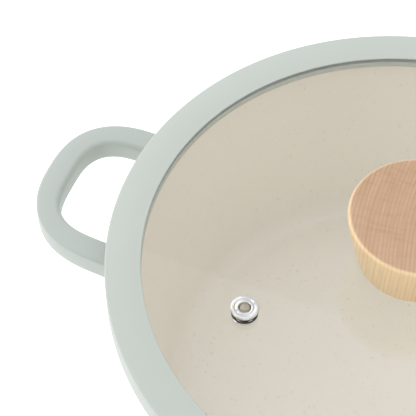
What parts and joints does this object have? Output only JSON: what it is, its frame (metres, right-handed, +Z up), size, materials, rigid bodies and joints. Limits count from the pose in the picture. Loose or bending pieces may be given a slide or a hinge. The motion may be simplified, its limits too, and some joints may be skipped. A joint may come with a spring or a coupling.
{
  "type": "casserole with glass lid",
  "caption": "Round two-handled cast pot with a flat glass lid, a silicone lid ring, a steam vent and a turned wooden knob.",
  "frame": {"origin": "middle of the base, on the surface that the pot stands on", "axes": "+Z up along the pot's axis, +X through the middle of the right-hand handle, +Y towards the back"},
  "size_m": [0.332, 0.2512, 0.1292],
  "materials": {
    "sage_enamel": "satin sage coating on cast aluminium",
    "cream_ceramic": "smooth cream non-stick ceramic lining",
    "base_steel": "turned stainless disc",
    "sage_silicone": "matt sage silicone",
    "lid_glass": "clear tempered glass",
    "knob_wood": "turned beech with a thin oil finish",
    "bright_steel": "polished stainless",
    "insert_brass": "turned brass",
    "seal_silicone": "translucent white silicone",
    "charcoal_silicone": "charcoal silicone"
  },
  "bodies": {
    "pot": {"pot_body": "sage_enamel", "handle_left": "sage_enamel", "handle_right": "sage_enamel", "interior_coating": "cream_ceramic", "induction_plate": "base_steel"},
    "lid_ring": {"silicone_rim": "sage_silicone"},
    "lid": {"lid_glass": "lid_glass", "knob": "knob_wood", "knob_insert": "insert_brass", "knob_gasket": "seal_silicone", "lid_gasket": "seal_silicone", "knob_washer": "bright_steel", "lock_washer": "bright_steel", "knob_screw": "bright_steel", "vent_eyelet": "bright_steel", "vent_washer": "bright_steel", "vent_gasket": "charcoal_silicone"}
  },
  "joints": [
    {"name": "lid_lift", "type": "slide", "parent": "pot", "child": "lid_ring", "axis": [0, 0, 1], "range_m": [0, 0.15]},
    {"name": "lid_turn", "type": "hinge", "parent": "lid_ring", "child": "lid", "pos_m": [0, 0, 0.1014], "axis": [0, 0, 1], "continuous": true}
  ]
}
